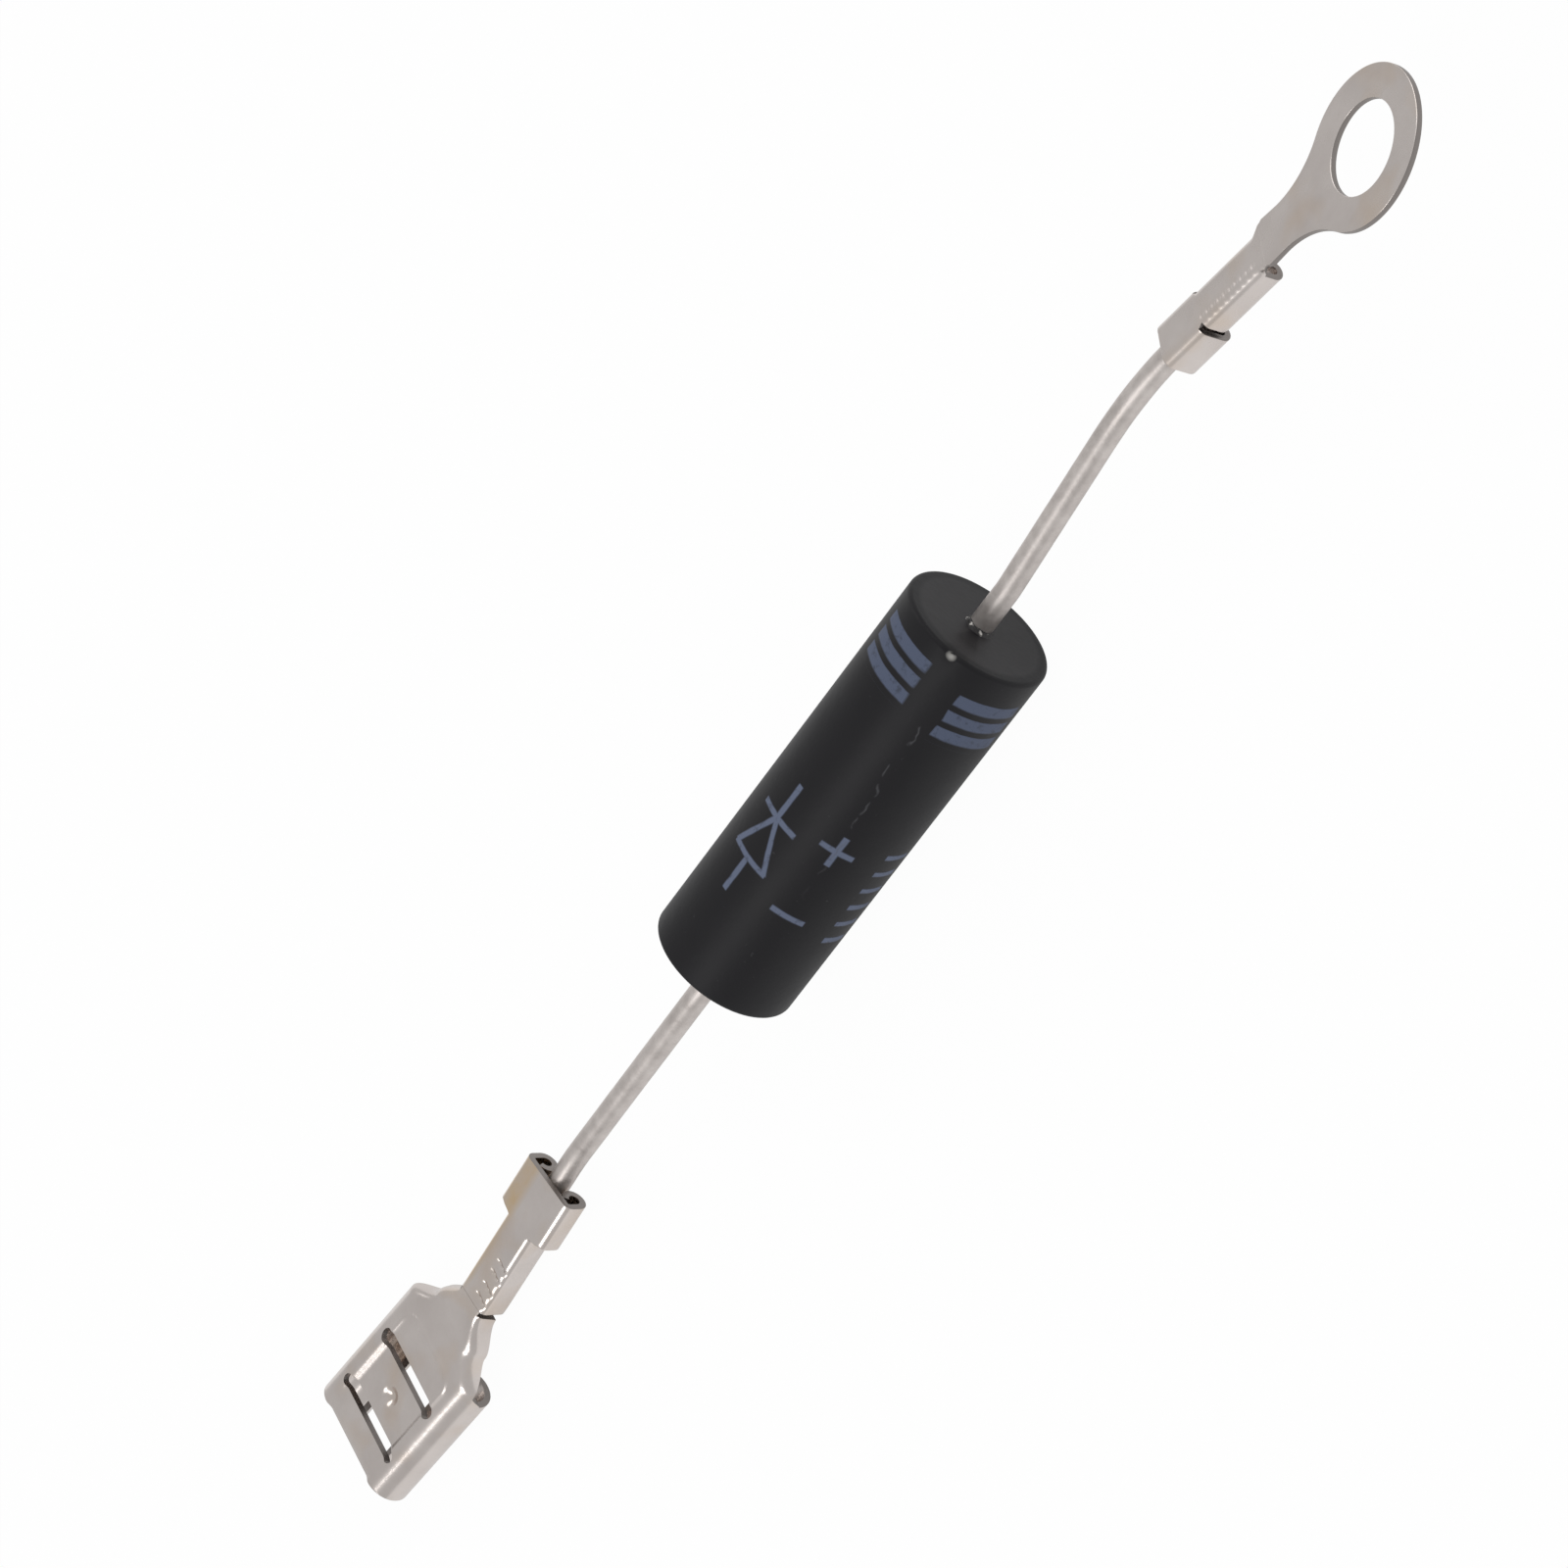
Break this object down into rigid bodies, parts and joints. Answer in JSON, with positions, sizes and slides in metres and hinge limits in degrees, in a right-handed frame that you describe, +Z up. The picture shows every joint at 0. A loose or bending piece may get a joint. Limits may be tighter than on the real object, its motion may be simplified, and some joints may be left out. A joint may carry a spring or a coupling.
{
  "type": "axial rectifier diode with crimped terminals",
  "caption": "High-voltage axial rectifier diode: round black moulded body, stacked junctions inside, formed tinned leads, a crimped ring terminal and a crimped female quick-connect receptacle.",
  "frame": {"origin": "on the surface it lies on, under the middle of the moulded body", "axes": "+X along the body towards the cathode lead and its ring terminal, +Z up, +Y to the left of +X"},
  "size_m": [0.094, 0.0114, 0.0079],
  "materials": {
    "epoxy_body": "black moulded epoxy, satin, with a little mould texture",
    "coating": "clear to ivory junction varnish",
    "tinned_wire": "dull tinned copper wire, slightly grainy",
    "plated_sheet": "bright tin-plated brass strip, warm at the bends",
    "silicon": "lapped silicon, dark grey",
    "solder": "reflowed solder, dull grey"
  },
  "bodies": {
    "root": {"epoxy_body": "epoxy_body", "junction_coating": "coating", "cathode_lead": "tinned_wire", "anode_lead": "tinned_wire", "ring_terminal": "plated_sheet", "receptacle_terminal": "plated_sheet", "die_01": "silicon", "die_02": "silicon", "die_03": "silicon", "die_04": "silicon", "die_05": "silicon", "die_06": "silicon", "die_07": "silicon", "die_08": "silicon", "die_09": "silicon", "die_10": "silicon", "die_11": "silicon", "die_12": "silicon", "solder_00": "solder", "solder_01": "solder", "solder_02": "solder", "solder_03": "solder", "solder_04": "solder", "solder_05": "solder", "solder_06": "solder", "solder_07": "solder", "solder_08": "solder", "solder_09": "solder", "solder_10": "solder", "solder_11": "solder", "solder_12": "solder"}
  },
  "joints": []
}
